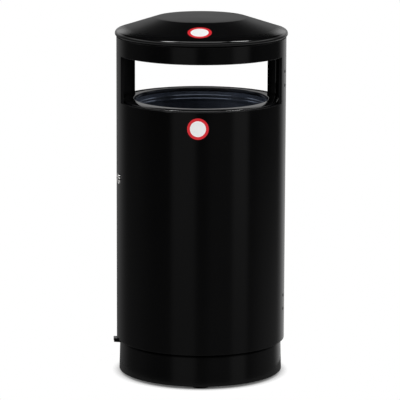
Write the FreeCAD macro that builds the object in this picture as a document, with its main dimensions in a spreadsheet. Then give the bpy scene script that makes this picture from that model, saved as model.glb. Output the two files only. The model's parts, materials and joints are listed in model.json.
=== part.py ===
import FreeCAD, Part
import math
import os
import re
import Sketcher

# Round two-way outdoor waste bin: housing with a hinged front shell, cam lock and lift-out inner bin.
# Millimetres, +Z up, the front of the bin looks along -Y. The origin is the point on the ground under
# the middle of the bin. Angles are degrees round +Z, counted from the front towards +X.

SIZES = [
    ("body_radius", 235.0),
    ("sheet", 2.0),
    ("weld_gap", 0.2),
    ("screw_clearance", 0.3),
    ("running_clearance", 0.05),
    ("overrun", 1.0),
    ("plinth_top", 112.0),
    ("shell_overlap", 14.5),
    ("window_low", 771.5),
    ("window_height", 129.5),
    ("front_window_half_angle", 70.0),
    ("rear_window_half_angle", 55.5),
    ("window_lip", 7.0),
    ("latch_angle", 83.0),
    ("latch_gap", 3.0),
    ("hinge_angle", 110.0),
    ("edge_lip", 12.0),
    ("edge_lip_rise", 18.0),
    ("edge_lip_end", 16.5),
    ("jamb_depth", 11.0),
    ("jamb_rise", 13.0),
    ("foot_height", 7.5),
    ("foot_radius", 24.0),
    ("foot_inset", 34.0),
    ("foot_screw_radius", 2.5),
    ("foot_screw_head", 4.5),
    ("foot_screw_head_height", 2.0),
    ("plinth_inset", 7.0),
    ("plinth_taper", 3.0),
    ("plinth_sheet", 2.0),
    ("base_thick", 3.0),
    ("drain_radius", 12.0),
    ("anchor_circle", 150.0),
    ("anchor_radius", 6.0),
    ("rest_shift_angle", 2.2),
    ("rest_overhang", 9.0),
    ("rest_drop", 1.0),
    ("rest_depth", 12.0),
    ("rest_nose", 10.5),
    ("rest_width", 28.0),
    ("head_inset", 7.0),
    ("head_sheet", 3.0),
    ("head_clearance", 4.0),
    ("head_height", 44.0),
    ("head_ledge", 23.0),
    ("door_top_gap", 1.0),
    ("roof_gap", 2.0),
    ("roof_overhang", 4.0),
    ("roof_rim_height", 13.0),
    ("roof_cone_width", 113.0),
    ("roof_cone_rise", 37.0),
    ("roof_dome_rise", 5.0),
    ("roof_return", 6.5),
    ("roof_upper_round", 6.5),
    ("roof_lower_round", 5.0),
    ("bracket_setback", 3.0),
    ("bracket_foot", 16.0),
    ("bracket_thick", 2.2),
    ("bracket_width", 24.0),
    ("roof_bolt_radius", 3.0),
    ("roof_bolt_flats", 10.0),
    ("roof_bolt_head", 4.0),
    ("pin_radius", 3.0),
    ("pin_tail", 2.0),
    ("pin_head_height", 1.5),
    ("pin_head_radius", 4.2),
    ("knuckle_radius", 5.5),
    ("knuckle_length", 20.0),
    ("knuckle_gap", 0.2),
    ("knuckle_clearance", 0.7),
    ("leaf_thick", 2.0),
    ("leaf_spacing", 0.4),
    ("upper_hinge_drop", 111.5),
    ("lower_hinge_rise", 108.5),
    ("strap_angle", 34.0),
    ("strap_far_rivet_angle", 31.0),
    ("strap_near_rivet_angle", 12.0),
    ("strap_rivet_spacing", 38.5),
    ("strap_rivet_radius", 2.5),
    ("strap_rivet_head", 4.6),
    ("rivet_head_height", 1.4),
    ("jamb_rivet_radius", 2.0),
    ("jamb_rivet_head", 3.6),
    ("jamb_rivet_spacing", 40.0),
    ("lock_setback_angle", 8.0),
    ("lock_height", 558.0),
    ("bezel_radius", 14.5),
    ("bezel_height", 4.0),
    ("barrel_radius", 10.0),
    ("barrel_clearance", 0.2),
    ("barrel_cam_gap", 0.6),
    ("key_recess_radius", 8.0),
    ("key_recess_depth", 3.5),
    ("key_pin_radius", 5.2),
    ("spindle_radius", 6.0),
    ("nut_flats", 27.0),
    ("nut_height", 4.5),
    ("cam_depth", 23.0),
    ("cam_thick", 3.0),
    ("cam_reach", 24.0),
    ("cam_width", 14.0),
    ("cam_screw_radius", 2.5),
    ("cam_screw_grip", 7.0),
    ("cam_screw_head", 7.0),
    ("cam_screw_head_height", 3.2),
    ("keeper_thick", 2.5),
    ("keeper_cam_gap", 4.5),
    ("keeper_hook_bite", 2.0),
    ("keeper_hook_play", 3.0),
    ("keeper_hook_thick", 2.0),
    ("keeper_drop", 4.5),
    ("keeper_height", 22.0),
    ("keeper_rivet_spacing", 11.0),
    ("bumper_radius", 4.0),
    ("bumper_rise", 138.0),
    ("bumper_drop", 81.5),
    ("bumper_clearance", 0.25),
    ("bin_sheet", 1.5),
    ("bin_inset", 45.5),
    ("bin_taper", 7.5),
    ("bin_seat_gap", 0.2),
    ("bin_floor_rise", 17.5),
    ("bin_floor_flange", 12.0),
    ("bead_drop", 29.0),
    ("bead_half", 3.0),
    ("bead_ramp", 5.0),
    ("bead_depth", 5.0),
    ("collar_rise", 3.7),
    ("collar_seat_gap", 0.7),
    ("collar_slope", 2.6),
    ("collar_clearance", 5.5),
    ("collar_lip", 11.0),
    ("collar_edge", 7.5),
    ("handle_drop", 73.0),
    ("handle_rod_radius", 2.75),
    ("handle_clearance", 1.5),
    ("handle_half_width", 45.0),
    ("handle_arm", 23.0),
    ("ear_play", 1.25),
    ("ear_width", 7.0),
    ("ear_height", 14.0),
    ("ear_cover", 1.5),
]

# Places that follow from the sizes above, by name.
PLACES = {
    "inner_radius": "body_radius - sheet",
    "shell_bottom": "plinth_top - shell_overlap",
    "base_top": "foot_height + base_thick",
    "plinth_bottom_radius": "body_radius - plinth_inset",
    "plinth_top_radius": "plinth_bottom_radius - plinth_taper",
    "foot_circle": "plinth_bottom_radius - foot_inset",
    "window_high": "window_low + window_height",
    "head_radius": "body_radius - head_inset",
    "head_low": "window_high + head_clearance",
    "rear_top": "head_low + head_height",
    "door_top": "rear_top - door_top_gap",
    "roof_rim_radius": "body_radius + roof_overhang",
    "roof_disc_radius": "roof_rim_radius - roof_cone_width",
    "roof_bottom": "rear_top + roof_gap",
    "roof_cone_low": "roof_bottom + roof_rim_height",
    "roof_crease": "roof_cone_low + roof_cone_rise",
    "roof_top": "roof_crease + roof_dome_rise",
    "bracket_inner": "head_radius - head_ledge + bracket_setback",
    "bracket_outer": "bracket_inner + bracket_foot",
    "roof_bolt_circle": "(bracket_inner + bracket_thick + bracket_outer) / 2",
    "hinge_gap": "2 * (leaf_spacing + leaf_thick + weld_gap)",
    "pin_circle": "body_radius + knuckle_radius + knuckle_clearance",
    "upper_hinge_height": "rear_top - upper_hinge_drop",
    "lower_hinge_height": "shell_bottom + lower_hinge_rise",
    "strap_end_angle": "hinge_angle - strap_angle",
    "far_rivet_angle": "hinge_angle - strap_far_rivet_angle",
    "near_rivet_angle": "hinge_angle - strap_near_rivet_angle",
    "edge_lip_low": "plinth_top + edge_lip_rise",
    "edge_lip_high": "window_low - edge_lip_end",
    "jamb_low": "plinth_top + jamb_rise",
    "jamb_high": "head_low - sheet",
    "jamb_inner": "inner_radius - jamb_depth",
    "jamb_middle": "inner_radius - jamb_depth / 2",
    "rest_angle": "latch_angle + rest_shift_angle",
    "rest_reach": "body_radius + rest_overhang",
    "rest_top": "shell_bottom - rest_drop",
    "lock_angle": "latch_angle - lock_setback_angle",
    "cam_outer": "body_radius - cam_depth",
    "cam_inner": "cam_outer - cam_thick",
    "barrel_end": "cam_outer + barrel_cam_gap",
    "keeper_inner": "cam_inner - keeper_cam_gap - keeper_thick",
    "keeper_hook_reach": "cam_inner + keeper_hook_bite",
    "keeper_hook_offset": "cam_outer * sin(lock_setback_angle) + cam_width / 2 + keeper_hook_play",
    "keeper_high": "lock_height - cam_width / 2 - keeper_drop",
    "keeper_low": "keeper_high - keeper_height",
    "keeper_middle": "keeper_high - keeper_height / 2",
    "bumper_low_height": "plinth_top + bumper_rise",
    "bumper_high_height": "window_low - bumper_drop",
    "bin_low": "base_top + bin_seat_gap",
    "bin_top_radius": "body_radius - bin_inset",
    "bin_low_radius": "bin_top_radius - bin_taper",
    "bin_top": "collar_top - bin_sheet - collar_seat_gap",
    "bin_floor_height": "base_top + bin_floor_rise",
    "bead_height": "bin_top - bead_drop",
    "collar_top": "window_low + collar_rise",
    "collar_radius": "inner_radius - edge_lip - collar_clearance",
    "handle_height": "bin_top - handle_drop",
    "handle_wall": "bin_low_radius + bin_taper * (handle_height - bin_low) / (bin_top - bin_low)",
    "handle_circle": "handle_wall + handle_rod_radius + handle_clearance",
    "ear_inner": "handle_half_width + handle_rod_radius + ear_play",
    "ear_face": "handle_circle + handle_rod_radius + ear_cover",
}

doc = FreeCAD.newDocument("waste_bin")
dims = doc.addObject("Spreadsheet::Sheet", "dims")
for row, (alias, value) in enumerate(SIZES, 1):
    dims.set("A%d" % row, alias)
    dims.set("B%d" % row, repr(value))
    dims.setAlias("B%d" % row, alias)
doc.recompute()

ALIASES = {alias for alias, value in SIZES}
UP = FreeCAD.Vector(0, 0, 1)
SAME_PLACE = 0.01
nodes = []


def full(text):
    """Expression with every place spelled out and every size name pointed at the sheet."""
    def spelled(match):
        name = match.group()
        if name in PLACES:
            return "(%s)" % full(PLACES[name])
        return "dims." + name if name in ALIASES else name
    return re.sub(r"[a-z_]+", spelled, text)


def number(text):
    """Present value of an expression."""
    found = dims.evalExpression(full(text))
    return float(getattr(found, "Value", found))


def bind(item, sizes):
    """Binds properties to expressions."""
    for name, text in sizes.items():
        item.setExpression(name, full(text))
    return item


def turn(item, angle):
    """Turns an item round +Z by a bound angle."""
    item.Placement = FreeCAD.Placement(FreeCAD.Vector(0, 0, 0), FreeCAD.Rotation(UP, 1))
    return bind(item, {"Placement.Rotation.Angle": angle})


def keep(item, name):
    """Marks a finished piece that is written to its own file."""
    item.Label = name
    nodes.append(item)
    return item


def joined(kind, name, items):
    """Union or group of several items."""
    whole = doc.addObject(kind, name)
    if kind == "Part::Compound":
        whole.Links = items
    else:
        whole.Shapes = items
    return whole


def fuse(name, items):
    whole = joined("Part::MultiFuse", name, items)
    whole.Refine = True
    return whole


def group(name, items):
    return joined("Part::Compound", name, items)


def cut(name, base, tools):
    """Base with the tools taken away."""
    tool = tools[0] if len(tools) == 1 else group(name + "_tools", tools)
    rest = doc.addObject("Part::Cut", name)
    rest.Base = base
    rest.Tool = tool
    rest.Refine = True
    return rest


def outline(body, name, points):
    """Closed sketch in the upright plane, radius across and height up. A third entry of a point
    makes the line to the next point an arc about the upright axis."""
    sketch = body.newObject("Sketcher::SketchObject", name + "_outline")
    plane = [item for item in body.Origin.OriginFeatures if "XZ" in item.Name][0]
    sketch.AttachmentSupport = [(plane, "")]
    sketch.MapMode = "FlatFace"
    spots = [FreeCAD.Vector(number(p[0]), number(p[1]), 0) for p in points]
    count = len(spots)
    starts = []
    ends = []
    for i, (here, there) in enumerate(zip(spots, spots[1:] + spots[:1])):
        if len(points[i]) == 2:
            sketch.addGeometry(Part.LineSegment(here, there), False)
            starts.append(1)
            ends.append(2)
            continue
        height = (there.x ** 2 + there.y ** 2 - here.x ** 2 - here.y ** 2) / (2 * (there.y - here.y))
        middle = FreeCAD.Vector(0, height, 0)
        angles = [math.atan2(p.y - height, p.x) for p in (here, there)]
        ring = Part.Circle(middle, UP, (here - middle).Length)
        sketch.addGeometry(Part.ArcOfCircle(ring, min(angles), max(angles)), False)
        starts.append(1 if angles[0] < angles[1] else 2)
        ends.append(3 - starts[-1])
        sketch.addConstraint(Sketcher.Constraint("PointOnObject", i, 3, -2))
    for i in range(count):
        after = (i + 1) % count
        sketch.addConstraint(Sketcher.Constraint("Coincident", i, ends[i], after, starts[after]))
    for i, (point, spot) in enumerate(zip(points, spots)):
        for kind, value, text in (("DistanceX", spot.x, point[0]), ("DistanceY", spot.y, point[1])):
            if text == "0":
                sketch.addConstraint(Sketcher.Constraint("PointOnObject", i, starts[i], -2))
                continue
            index = sketch.addConstraint(Sketcher.Constraint(kind, -1, 1, i, starts[i], value))
            label = "%s_%d" % (kind, i)
            sketch.renameConstraint(index, label)
            sketch.setExpression("Constraints." + label, full(text))
    return sketch


def lathe(name, points, span="360", start="0"):
    """Piece turned about the upright axis, over a span that starts at an angle from the front."""
    body = doc.addObject("PartDesign::Body", name)
    sketch = outline(body, name, points)
    turned = body.newObject("PartDesign::Revolution", name + "_turned")
    turned.Profile = sketch
    turned.ReferenceAxis = (sketch, ["V_Axis"])
    bind(turned, {"Angle": span})
    sketch.Visibility = False
    return turn(body, "(%s) - 90" % start)


def plate(name, points, width, angle):
    """Plate whose outline lies in the radial plane at an angle, evenly thick to both sides."""
    body = doc.addObject("PartDesign::Body", name)
    sketch = outline(body, name, points)
    pad = body.newObject("PartDesign::Pad", name + "_pad")
    pad.Profile = sketch
    pad.SideType = "Symmetric"
    bind(pad, {"Length": width})
    sketch.Visibility = False
    return turn(body, "(%s) - 90" % angle)


def ring(name, inner, outer, low, high, span="360", start="0"):
    """Plain ring or part of a ring."""
    return lathe(name, [(inner, low), (outer, low), (outer, high), (inner, high)], span, start)


def block(name, side, inner, outer, low, high):
    """Box at the front: side is a pair across, inner and outer are distances forward."""
    item = doc.addObject("Part::Box", name)
    bind(item, {"Length": "(%s) - (%s)" % (side[1], side[0]), "Width": "(%s) - (%s)" % (outer, inner)})
    bind(item, {"Height": "(%s) - (%s)" % (high, low), "Placement.Base.x": side[0]})
    return bind(item, {"Placement.Base.y": "-(%s)" % outer, "Placement.Base.z": low})


def post(name, radius, across, forward, low, high):
    """Upright cylinder at the front."""
    item = doc.addObject("Part::Cylinder", name)
    bind(item, {"Radius": radius, "Height": "(%s) - (%s)" % (high, low), "Placement.Base.x": across})
    return bind(item, {"Placement.Base.y": "-(%s)" % forward, "Placement.Base.z": low})


def bolt(name, radius, inner, outer, height, across="0"):
    """Cylinder that points straight forward between two distances."""
    item = doc.addObject("Part::Cylinder", name)
    item.Placement = FreeCAD.Placement(
        FreeCAD.Vector(0, 0, 0), FreeCAD.Rotation(FreeCAD.Vector(1, 0, 0), 90))
    bind(item, {"Radius": radius, "Height": "(%s) - (%s)" % (outer, inner), "Placement.Base.x": across})
    return bind(item, {"Placement.Base.y": "-(%s)" % inner, "Placement.Base.z": height})


def crossbar(name, radius, side, forward, height):
    """Cylinder that lies across at the front, side is a pair across."""
    item = doc.addObject("Part::Cylinder", name)
    item.Placement = FreeCAD.Placement(
        FreeCAD.Vector(0, 0, 0), FreeCAD.Rotation(FreeCAD.Vector(0, 1, 0), 90))
    bind(item, {"Radius": radius, "Height": "(%s) - (%s)" % (side[1], side[0])})
    bind(item, {"Placement.Base.x": side[0], "Placement.Base.y": "-(%s)" % forward})
    return bind(item, {"Placement.Base.z": height})


def hexagon(name, flats, forward_low, forward_high, height):
    """Hexagonal prism that points straight forward."""
    item = doc.addObject("Part::Prism", name)
    item.Polygon = 6
    item.Placement = FreeCAD.Placement(
        FreeCAD.Vector(0, 0, 0), FreeCAD.Rotation(FreeCAD.Vector(1, 0, 0), 90))
    bind(item, {"Circumradius": "(%s) / (2 * cos(30))" % flats})
    bind(item, {"Height": "(%s) - (%s)" % (forward_high, forward_low)})
    return bind(item, {"Placement.Base.y": "-(%s)" % forward_low, "Placement.Base.z": height})


def standing_hexagon(name, flats, forward, low, high):
    """Hexagonal prism that stands upright at the front."""
    item = doc.addObject("Part::Prism", name)
    item.Polygon = 6
    bind(item, {"Circumradius": "(%s) / (2 * cos(30))" % flats, "Height": "(%s) - (%s)" % (high, low)})
    return bind(item, {"Placement.Base.y": "-(%s)" % forward, "Placement.Base.z": low})



# Base: plate, rolled plinth, four feet with their screws, and the rest under the latch seam, on which
# the free lower corner of the door settles when it sags.
disc = ring("base_disc", "drain_radius", "plinth_bottom_radius - plinth_sheet - 1.5 * weld_gap",
            "foot_height", "base_top")
base_holes = []
foot_screws = []
for index, (side, angle) in enumerate((("front", "0"), ("right", "90"), ("rear", "180"), ("left", "270"))):
    hole = post("anchor_hole_%d" % index, "anchor_radius", "0", "anchor_circle",
                "foot_height - overrun", "base_top + overrun")
    base_holes.append(turn(group("anchor_hole_turned_%d" % index, [hole]), angle + " + 45"))
    hole = post("foot_hole_%d" % index, "foot_screw_radius + screw_clearance", "0", "foot_circle",
                "foot_height - overrun", "base_top + overrun")
    base_holes.append(turn(group("foot_hole_turned_%d" % index, [hole]), angle))
    pad = post("foot_block_%d" % index, "foot_radius", "0", "foot_circle", "0", "foot_height")
    bore = post("foot_bore_%d" % index, "foot_screw_radius + running_clearance", "0", "foot_circle",
                "foot_height / 3", "foot_height + overrun")
    keep(turn(cut("foot_pad_" + side, pad, [bore]), angle), "foot_pad_" + side)
    shank = post("foot_shank_%d" % index, "foot_screw_radius", "0", "foot_circle",
                 "foot_height / 3 + weld_gap", "base_top + overrun")
    head = post("foot_head_%d" % index, "foot_screw_head", "0", "foot_circle",
                "base_top", "base_top + foot_screw_head_height")
    foot_screws.append(turn(fuse("foot_screw_%d" % index, [shank, head]), angle))
keep(cut("base_plate", disc, base_holes), "base_plate")
keep(group("foot_screws", foot_screws), "foot_screws")
keep(lathe("plinth_ring", [
    ("plinth_bottom_radius - plinth_sheet", "foot_height"), ("plinth_bottom_radius", "foot_height"),
    ("plinth_top_radius", "plinth_top"), ("plinth_top_radius - plinth_sheet", "plinth_top")]), "plinth_ring")
plinth_at_shell = "(plinth_top_radius + plinth_taper * shell_overlap / (plinth_top - foot_height))"
rest_root = ("(plinth_top_radius + weld_gap"
             " + plinth_taper * (plinth_top - rest_top + rest_depth) / (plinth_top - foot_height))")
keep(plate("door_rest", [
    (rest_root, "rest_top"), ("rest_reach", "rest_top"), ("rest_reach", "rest_top - rest_nose"),
    (rest_root, "rest_top - rest_depth")], "rest_width", "-rest_angle"), "door_rest")

# Seam angles of the two half shells.
half_latch = "(latch_gap / 2 / body_radius * 180 / pi)"
half_hinge = "(hinge_gap / 2 / body_radius * 180 / pi)"
door_start = "(-latch_angle + %s)" % half_latch
door_span = "(latch_angle + hinge_angle - %s - %s)" % (half_latch, half_hinge)
rear_start = "(hinge_angle + %s)" % half_hinge
rear_span = "(360 - latch_angle - hinge_angle - %s - %s)" % (half_latch, half_hinge)
lip_angle = "(sheet / body_radius * 180 / pi)"


def window(name, half, middle):
    """Frame of turned-in lips round a window, and the opening that is cut through it."""
    frame = ring(name + "_frame", "body_radius - sheet - window_lip", "body_radius - sheet / 2",
                 "window_low - sheet", "window_high + sheet",
                 "2 * (%s + %s)" % (half, lip_angle), "%s - %s - %s" % (middle, half, lip_angle))
    opening = ring(name + "_opening", "body_radius - sheet - 3 * window_lip", "body_radius + 3 * sheet",
                   "window_low", "window_high", "2 * (%s)" % half, "%s - %s" % (middle, half))
    return frame, opening


# Hinge data: seam-side faces of the leaves, heights of both hinges.
hinges = (("upper", "upper_hinge_height"), ("lower", "lower_hinge_height"))
hinge_edge = "(hinge_gap / 2)"
latch_edge = "(latch_gap / 2)"

# Rear half shell, fixed to plinth and head ring, with a turned-in jamb at both seams.
rear_wall = lathe("rear_wall", [
    ("body_radius", "shell_bottom"), ("body_radius", "rear_top"),
    ("head_radius + weld_gap", "rear_top"), ("head_radius + weld_gap", "rear_top - sheet"),
    ("inner_radius", "rear_top - sheet"), ("inner_radius", "shell_bottom + sheet"),
    (plinth_at_shell + " + weld_gap", "shell_bottom + sheet"),
    (plinth_at_shell + " + weld_gap", "shell_bottom")], rear_span, rear_start)
rear_frame, rear_opening = window("rear_window", "rear_window_half_angle", "180")
hinge_jamb = turn(group("hinge_jamb_turned", [block(
    "hinge_jamb", (hinge_edge, hinge_edge + " + sheet"), "jamb_inner", "body_radius - sheet / 2",
    "jamb_low", "jamb_high")]), "hinge_angle")
latch_jamb = turn(group("latch_jamb_turned", [block(
    "latch_jamb", ("-%s - sheet" % latch_edge, "-" + latch_edge), "jamb_inner", "body_radius - sheet / 2",
    "jamb_low", "jamb_high")]), "-latch_angle")
hinge_holes = []
for name, height in hinges:
    for sign in ("-", "+"):
        hinge_holes.append(crossbar(
            "jamb_hole_%s_%d" % (name, sign == "+"), "jamb_rivet_radius + running_clearance",
            (hinge_edge + " - overrun", hinge_edge + " + sheet + overrun"), "jamb_middle",
            "%s %s jamb_rivet_spacing / 2" % (height, sign)))
latch_holes = []
for sign in ("-", "+"):
    latch_holes.append(crossbar(
        "keeper_jamb_hole_%d" % (sign == "+"), "jamb_rivet_radius + running_clearance",
        ("-%s - sheet - overrun" % latch_edge, "overrun - " + latch_edge), "jamb_middle",
        "keeper_middle %s keeper_rivet_spacing / 2" % sign))
for name, height in (("low", "bumper_low_height"), ("high", "bumper_high_height")):
    latch_holes.append(crossbar(
        "bumper_jamb_hole_" + name, "bumper_radius / 2 + running_clearance",
        ("-%s - sheet - overrun" % latch_edge, "overrun - " + latch_edge), "jamb_middle", height))
rear_whole = fuse("rear_whole", [rear_wall, rear_frame, hinge_jamb, latch_jamb])
keep(cut("rear_shell", rear_whole, [
    rear_opening, turn(group("hinge_holes", hinge_holes), "hinge_angle"),
    turn(group("latch_holes", latch_holes), "-latch_angle")]), "rear_shell")

# Head ring and roof with its brackets.
head_whole = lathe("head_angle", [
    ("head_radius - head_sheet", "head_low"), ("head_radius", "head_low"), ("head_radius", "rear_top"),
    ("head_radius - head_ledge", "rear_top"), ("head_radius - head_ledge", "rear_top - head_sheet"),
    ("head_radius - head_sheet", "rear_top - head_sheet")])
roof = lathe("roof", [
    ("0", "roof_top", "arc"), ("roof_disc_radius", "roof_crease"), ("roof_rim_radius", "roof_cone_low"),
    ("roof_rim_radius", "roof_bottom"), ("roof_rim_radius - roof_return", "roof_bottom"),
    ("roof_rim_radius - roof_return", "roof_bottom + sheet"),
    ("roof_rim_radius - sheet", "roof_bottom + sheet"),
    ("roof_rim_radius - sheet", "roof_cone_low - 0.75 * sheet"),
    ("roof_disc_radius", "roof_crease - 1.05 * sheet", "arc"), ("0", "roof_top - sheet")])
doc.recompute()


def circles(shape, radius, height):
    """Names of the round edges of a turned piece at one place of its outline."""
    found = []
    for index, edge in enumerate(shape.Edges, 1):
        if edge.Degenerated or not isinstance(edge.Curve, Part.Circle):
            continue
        offset = (edge.Curve.Radius - number(radius), edge.Curve.Center.z - number(height))
        if math.hypot(*offset) < SAME_PLACE:
            found.append("Edge%d" % index)
    return found


def rounded(body, name, spots, size):
    """Rounds the edges of a turned piece at the given places of its outline."""
    base = body.Tip
    edges = [edge for radius, height in spots for edge in circles(base.Shape, radius, height)]
    item = body.newObject("PartDesign::Fillet", name)
    item.Base = (base, edges)
    bind(item, {"Radius": size})
    doc.recompute()


rounded(roof, "roof_rim_top", [("roof_rim_radius", "roof_cone_low")], "roof_upper_round")
rounded(roof, "roof_rim_low", [("roof_rim_radius", "roof_bottom")], "roof_lower_round")
rounded(roof, "roof_rim_inside", [
    ("roof_rim_radius - sheet", "roof_bottom + sheet"),
    ("roof_rim_radius - sheet", "roof_cone_low - 0.75 * sheet")], "roof_lower_round - sheet")
keep(roof, "roof")
cone_fall = "((roof_crease - roof_cone_low) / (roof_rim_radius - roof_disc_radius))"


def under_cone(radius):
    """Height just under the roof cone at a radius."""
    return "(roof_crease - 1.05 * sheet - (%s - roof_disc_radius) * %s - weld_gap)" % (radius, cone_fall)


head_holes = []
brackets = []
bolts = []
nuts = []
foot_low = "(rear_top + weld_gap / 2)"
foot_high = "(rear_top + weld_gap / 2 + bracket_thick)"
ledge_low = "(rear_top - head_sheet)"
for index in range(4):
    angle = str(45 + 90 * index)
    hole = post("head_hole_%d" % index, "roof_bolt_radius + screw_clearance", "0", "roof_bolt_circle",
                ledge_low + " - overrun", "rear_top + overrun")
    head_holes.append(turn(group("head_hole_turned_%d" % index, [hole]), angle))
    web = plate("bracket_web_%d" % index, [
        ("bracket_inner", foot_low), ("bracket_outer", foot_low), ("bracket_outer", foot_high),
        ("bracket_inner + bracket_thick", foot_high),
        ("bracket_inner + bracket_thick", under_cone("(bracket_inner + bracket_thick)")),
        ("bracket_inner", under_cone("bracket_inner"))], "bracket_width", angle)
    hole = post("bracket_hole_%d" % index, "roof_bolt_radius + screw_clearance", "0", "roof_bolt_circle",
                "rear_top - overrun", foot_high + " + overrun")
    hole = turn(group("bracket_hole_turned_%d" % index, [hole]), angle)
    brackets.append(cut("bracket_%d" % index, web, [hole]))
    shank = post("roof_shank_%d" % index, "roof_bolt_radius", "0", "roof_bolt_circle",
                 ledge_low + " - overrun", foot_high + " + 1.5 * roof_bolt_head")
    head = standing_hexagon("roof_head_%d" % index, "roof_bolt_flats", "roof_bolt_circle",
                            ledge_low + " - weld_gap / 2 - roof_bolt_head", ledge_low + " - weld_gap / 2")
    bolts.append(turn(fuse("roof_bolt_%d" % index, [shank, head]), angle))
    nut = standing_hexagon("roof_nut_block_%d" % index, "roof_bolt_flats", "roof_bolt_circle",
                           foot_high + " + weld_gap / 2", foot_high + " + weld_gap / 2 + roof_bolt_head")
    bore = post("roof_nut_bore_%d" % index, "roof_bolt_radius + running_clearance", "0",
                "roof_bolt_circle", foot_high, foot_high + " + 2 * roof_bolt_head")
    nuts.append(turn(cut("roof_nut_%d" % index, nut, [bore]), angle))
keep(cut("head_ring", head_whole, head_holes), "head_ring")
keep(group("roof_brackets", brackets), "roof_brackets")
keep(group("roof_bolts", bolts), "roof_bolts")
keep(group("roof_nuts", nuts), "roof_nuts")

# Hinges: the jamb leaf lies on the jamb, the door leaf is a strap along the inside of the door.
neck = "(body_radius - weld_gap)"
half_mid = "(knuckle_length / 2)"
half_all = "(1.5 * knuckle_length)"
strap_outer = "(body_radius - sheet - weld_gap)"
strap_inner = "(body_radius - sheet - weld_gap - leaf_thick)"
near_face = "leaf_spacing"
far_face = "(leaf_spacing + leaf_thick)"
jamb_rivets = []
for name, height in hinges:
    low = "(%s - %s)" % (height, half_all)
    high = "(%s + %s)" % (height, half_all)
    mid_low = "(%s - %s)" % (height, half_mid)
    mid_high = "(%s + %s)" % (height, half_mid)
    ends = ((low, mid_low + " - knuckle_gap"), (mid_high + " + knuckle_gap", high))
    pieces = [block(name + "_jamb_web", (near_face, far_face), "jamb_inner + weld_gap", neck, low, high)]
    for index, (start, stop) in enumerate(ends):
        pieces.append(block("%s_jamb_neck_%d" % (name, index), (near_face, far_face), neck, "pin_circle",
                            start, stop))
        pieces.append(post("%s_jamb_knuckle_%d" % (name, index), "knuckle_radius", "0", "pin_circle",
                           start, stop))
    tools = [post(name + "_jamb_bore", "pin_radius + running_clearance", "0", "pin_circle",
                  low + " - overrun", high + " + overrun")]
    for sign in ("-", "+"):
        spot = "%s %s jamb_rivet_spacing / 2" % (height, sign)
        mark = "%s_%d" % (name, sign == "+")
        tools.append(crossbar("leaf_hole_" + mark, "jamb_rivet_radius + running_clearance",
                              (near_face + " - overrun", far_face + " + overrun"), "jamb_middle", spot))
        shank = crossbar("jamb_shank_" + mark, "jamb_rivet_radius",
                         (near_face + " + weld_gap / 4", hinge_edge + " + sheet + overrun / 2"),
                         "jamb_middle", spot)
        head = crossbar("jamb_head_" + mark, "jamb_rivet_head",
                        (hinge_edge + " + sheet + weld_gap / 4",
                         hinge_edge + " + sheet + weld_gap / 4 + rivet_head_height"), "jamb_middle", spot)
        jamb_rivets.append(turn(fuse("jamb_rivet_" + mark, [shank, head]), "hinge_angle"))
    leaf = cut(name + "_jamb_leaf", fuse(name + "_jamb_leaf_whole", pieces), tools)
    keep(turn(leaf, "hinge_angle"), name + "_hinge_jamb_leaf")
    shaft = post(name + "_pin_shaft", "pin_radius", "0", "pin_circle", low + " - pin_tail",
                 high + " + overrun / 2")
    head = post(name + "_pin_head", "pin_head_radius", "0", "pin_circle",
                high + " + weld_gap / 4", high + " + weld_gap / 4 + pin_head_height")
    keep(turn(fuse(name + "_pin", [shaft, head]), "hinge_angle"), name + "_hinge_pin")
keep(group("jamb_rivets", jamb_rivets), "jamb_rivets")

door_rivets = []
door_holes = []
strap_turn = "(leaf_spacing / body_radius * 180 / pi)"
for name, height in hinges:
    low = "(%s - %s)" % (height, half_all)
    high = "(%s + %s)" % (height, half_all)
    mid_low = "(%s - %s + knuckle_gap)" % (height, half_mid)
    mid_high = "(%s + %s - knuckle_gap)" % (height, half_mid)
    strap = ring(name + "_strap", strap_inner, strap_outer, low, high,
                 "hinge_angle - strap_end_angle - " + strap_turn, "strap_end_angle")
    crank = group(name + "_crank", [
        fuse(name + "_crank_whole", [
            block(name + "_door_web", ("-" + far_face, "-" + near_face), strap_inner, neck, low, high),
            block(name + "_door_neck", ("-" + far_face, "-" + near_face), neck, "pin_circle",
                  mid_low, mid_high),
            post(name + "_door_knuckle", "knuckle_radius", "0", "pin_circle", mid_low, mid_high)])])
    tools = [turn(group(name + "_door_bore_turned", [
        post(name + "_door_bore", "pin_radius + running_clearance", "0", "pin_circle",
             low, high)]), "hinge_angle")]
    for row, angle in enumerate(("far_rivet_angle", "near_rivet_angle")):
        for sign in ("-", "+"):
            spot = "%s %s strap_rivet_spacing / 2" % (height, sign)
            mark = "%s_%d_%d" % (name, row, sign == "+")
            hole = bolt("strap_hole_" + mark, "strap_rivet_radius + running_clearance",
                        strap_inner + " - overrun", "body_radius + overrun", spot)
            hole = turn(group("strap_hole_turned_" + mark, [hole]), angle)
            tools.append(hole)
            door_holes.append(hole)
            parts = [
                bolt("strap_shank_" + mark, "strap_rivet_radius",
                     strap_inner + " - overrun / 2", "body_radius + overrun / 2", spot),
                bolt("strap_head_" + mark, "strap_rivet_head",
                     "body_radius + weld_gap / 4", "body_radius + weld_gap / 4 + rivet_head_height", spot),
                bolt("strap_tail_" + mark, "jamb_rivet_head",
                     strap_inner + " - weld_gap / 4 - rivet_head_height",
                     strap_inner + " - weld_gap / 4", spot)]
            door_rivets.append(turn(fuse("door_rivet_" + mark, parts), angle))
    turn(crank, "hinge_angle")
    leaf = cut(name + "_door_leaf", fuse(name + "_door_leaf_whole", [strap, crank]), tools)
    keep(leaf, name + "_hinge_door_leaf")
keep(group("door_hinge_rivets", door_rivets), "door_hinge_rivets")

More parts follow.
